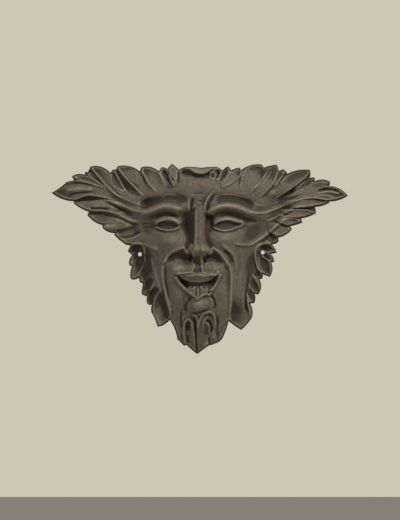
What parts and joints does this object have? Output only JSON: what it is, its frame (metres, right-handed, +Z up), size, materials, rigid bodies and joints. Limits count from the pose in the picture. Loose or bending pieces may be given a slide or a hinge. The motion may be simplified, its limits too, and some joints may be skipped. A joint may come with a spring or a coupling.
{
  "type": "wall plaque",
  "caption": "Cast-iron foliate mask for a wall: a grotesque face with leaf wings, leaf ears and a leaf beard, hollow at the back.",
  "frame": {"origin": "on the wall plane, midway between the two screw holes", "axes": "-Y is the way the mask faces, so the wall is the plane y = 0 and lies on its +Y side; +X is the viewer's right; +Z is up"},
  "size_m": [0.33, 0.0702, 0.2119],
  "materials": {
    "dark_iron": "dull brown-black patina, worn lighter on the raised edges"
  },
  "bodies": {
    "root": {"foliate_mask": "dark_iron"}
  },
  "joints": []
}
